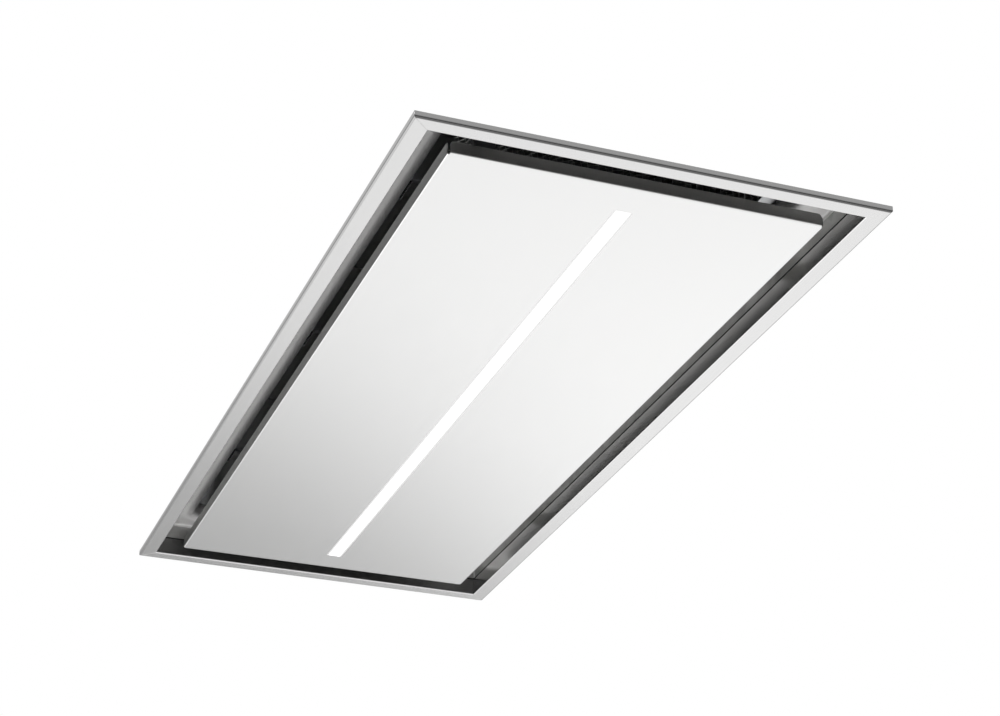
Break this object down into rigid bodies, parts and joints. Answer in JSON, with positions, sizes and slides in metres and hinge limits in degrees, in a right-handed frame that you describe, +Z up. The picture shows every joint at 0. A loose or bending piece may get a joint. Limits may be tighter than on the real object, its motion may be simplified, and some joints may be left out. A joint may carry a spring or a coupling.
{
  "type": "recessed ceiling range hood",
  "caption": "Recessed ceiling range hood: steel trim frame, hinged suction panel with a light line, air slot all round, grease filters, blower and duct collar.",
  "frame": {"origin": "middle of the frame's room-side face, the lowest plane of the hood", "axes": "+X across the short side towards the hinges, +Y along the long side away from the camera, +Z up into the ceiling"},
  "size_m": [0.5, 1.2, 0.3749],
  "materials": {
    "satin_steel": "fine satin grain",
    "panel_steel": "pale satin",
    "galvanised_steel": "zinc spangle, matte",
    "zinc_plate": "bright zinc",
    "filter_frame": "satin",
    "filter_mesh": "expanded metal",
    "aluminium": "mill",
    "opal_lens": "opal, lit",
    "circuit_board": "white solder mask",
    "black_plastic": "moulded",
    "grey_plastic": "moulded",
    "rubber": "matte"
  },
  "bodies": {
    "hood_body": {"frame_rail_near": "satin_steel", "frame_rail_far": "satin_steel", "frame_rail_left": "satin_steel", "frame_rail_right": "satin_steel", "filter_plate": "satin_steel", "body_side_left": "galvanised_steel", "body_side_right": "galvanised_steel", "body_end_near": "galvanised_steel", "body_end_far": "galvanised_steel", "body_top": "galvanised_steel", "volute_half_near": "galvanised_steel", "volute_half_far": "galvanised_steel", "motor": "galvanised_steel", "hinge_bracket_near": "zinc_plate", "hinge_bracket_far": "zinc_plate", "hinge_pin_near": "zinc_plate", "hinge_pin_far": "zinc_plate", "hanger_near_left": "zinc_plate", "hanger_near_right": "zinc_plate", "hanger_far_left": "zinc_plate", "hanger_far_right": "zinc_plate", "bearing_front": "zinc_plate", "bearing_rear": "zinc_plate", "motor_bracket": "zinc_plate", "flap_spindle": "zinc_plate", "latch_spring_1": "zinc_plate", "latch_spring_2": "zinc_plate", "latch_spring_3": "zinc_plate", "filter_frame_1": "filter_frame", "filter_frame_2": "filter_frame", "filter_frame_3": "filter_frame", "filter_mesh_1": "filter_mesh", "filter_mesh_2": "filter_mesh", "filter_mesh_3": "filter_mesh", "control_board": "circuit_board", "catch_magnet_near": "black_plastic", "catch_magnet_far": "black_plastic", "duct_collar": "black_plastic", "electronics_box": "black_plastic", "cable_gland": "black_plastic", "electronics_lid": "grey_plastic", "motor_capacitor": "grey_plastic", "collar_gasket": "rubber"},
    "panel": {"suction_panel": "panel_steel", "panel_stiffener_left": "galvanised_steel", "panel_stiffener_right": "galvanised_steel", "light_diffuser": "opal_lens", "light_channel": "aluminium", "light_strip": "circuit_board", "hinge_leaf_near": "zinc_plate", "hinge_leaf_far": "zinc_plate", "strike_plate_near": "zinc_plate", "strike_plate_far": "zinc_plate"},
    "rotor": {"impeller": "black_plastic", "motor_shaft": "zinc_plate"},
    "flap_left": {"flap_left": "grey_plastic"},
    "flap_right": {"flap_right": "grey_plastic"},
    "latch_1": {"filter_latch_1": "black_plastic"},
    "latch_2": {"filter_latch_2": "black_plastic"},
    "latch_3": {"filter_latch_3": "black_plastic"}
  },
  "joints": [
    {"name": "panel_hinge", "type": "hinge", "parent": "hood_body", "child": "panel", "pos_m": [0.188, 0, 0.025], "axis": [0, -1, 0], "range_deg": [0, 90]},
    {"name": "fan_spin", "type": "hinge", "parent": "hood_body", "child": "rotor", "pos_m": [0, 0, 0.20769], "axis": [0, 1, 0], "continuous": true},
    {"name": "flap_left_swing", "type": "hinge", "parent": "hood_body", "child": "flap_left", "pos_m": [0.08715, 0, 0.3479], "axis": [0, 1, 0], "range_deg": [0, 75]},
    {"name": "flap_right_swing", "type": "hinge", "parent": "hood_body", "child": "flap_right", "pos_m": [0.08715, 0, 0.3479], "axis": [0, -1, 0], "range_deg": [0, 75]},
    {"name": "latch_1_slide", "type": "slide", "parent": "hood_body", "child": "latch_1", "axis": [1, 0, 0], "range_m": [0, 0.006], "stiffness_N_per_m": 300, "springref_m": -0.003, "deforming": ["latch_spring_1"]},
    {"name": "latch_2_slide", "type": "slide", "parent": "hood_body", "child": "latch_2", "axis": [1, 0, 0], "range_m": [0, 0.006], "stiffness_N_per_m": 300, "springref_m": -0.003, "deforming": ["latch_spring_2"]},
    {"name": "latch_3_slide", "type": "slide", "parent": "hood_body", "child": "latch_3", "axis": [1, 0, 0], "range_m": [0, 0.006], "stiffness_N_per_m": 300, "springref_m": -0.003, "deforming": ["latch_spring_3"]}
  ]
}
